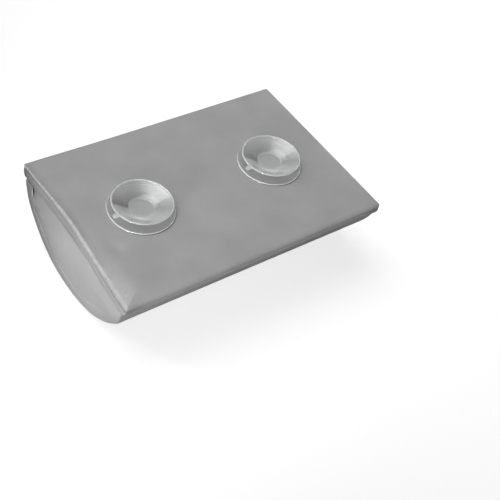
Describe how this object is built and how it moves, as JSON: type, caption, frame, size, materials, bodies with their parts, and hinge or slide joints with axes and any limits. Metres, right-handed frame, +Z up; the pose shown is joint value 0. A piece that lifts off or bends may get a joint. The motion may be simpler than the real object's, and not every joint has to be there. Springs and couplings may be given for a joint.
{
  "type": "bath pillow",
  "caption": "Half-round foam bath pillow in a sewn grey vinyl cover, with clear suction cups on its flat back that press flat to hold it on a bath.",
  "frame": {"origin": "on the ground under the middle of the pillow, which lies on the crown of its curved front", "axes": "+X along the pillow, +Y across it, +Z up out of the flat back that carries the suction cups"},
  "size_m": [0.286, 0.19, 0.0862],
  "materials": {
    "vinyl": "satin grey upholstery vinyl with faint creases and mottling",
    "welt": "satin grey vinyl seam bead",
    "foam": "open-cell foam, hidden inside the cover",
    "clear_pvc": "glossy clear soft PVC"
  },
  "bodies": {
    "pillow": {"foam_core": "foam", "back_panel": "vinyl", "front_panel": "vinyl", "left_end_panel": "vinyl", "right_end_panel": "vinyl", "back_welt": "welt", "left_end_welt": "welt", "right_end_welt": "welt", "left_cup_base": "clear_pvc", "left_cup_wall": "clear_pvc", "right_cup_base": "clear_pvc", "right_cup_wall": "clear_pvc"},
    "left_lip": {"left_cup_lip": "clear_pvc"},
    "left_tab": {"left_pull_tab": "clear_pvc"},
    "right_lip": {"right_cup_lip": "clear_pvc"},
    "right_tab": {"right_pull_tab": "clear_pvc"}
  },
  "joints": [
    {"name": "left_cup_press", "type": "slide", "parent": "pillow", "child": "left_lip", "axis": [0, 0, -1], "range_m": [0, 0.006], "stiffness_N_per_m": 300, "deforming": ["left_cup_wall"]},
    {"name": "right_cup_press", "type": "slide", "parent": "pillow", "child": "right_lip", "axis": [0, 0, -1], "range_m": [0, 0.006], "stiffness_N_per_m": 300, "deforming": ["right_cup_wall"]},
    {"name": "left_tab_lift", "type": "hinge", "parent": "left_lip", "child": "left_tab", "pos_m": [-0.1009, -0.0045, 0.0862], "axis": [0.1564, -0.9877, 0], "range_deg": [-60, 20], "stiffness_Nm_per_rad": 0.002},
    {"name": "right_tab_lift", "type": "hinge", "parent": "right_lip", "child": "right_tab", "pos_m": [0.0441, -0.0045, 0.0862], "axis": [0.1564, -0.9877, 0], "range_deg": [-60, 20], "stiffness_Nm_per_rad": 0.002}
  ]
}
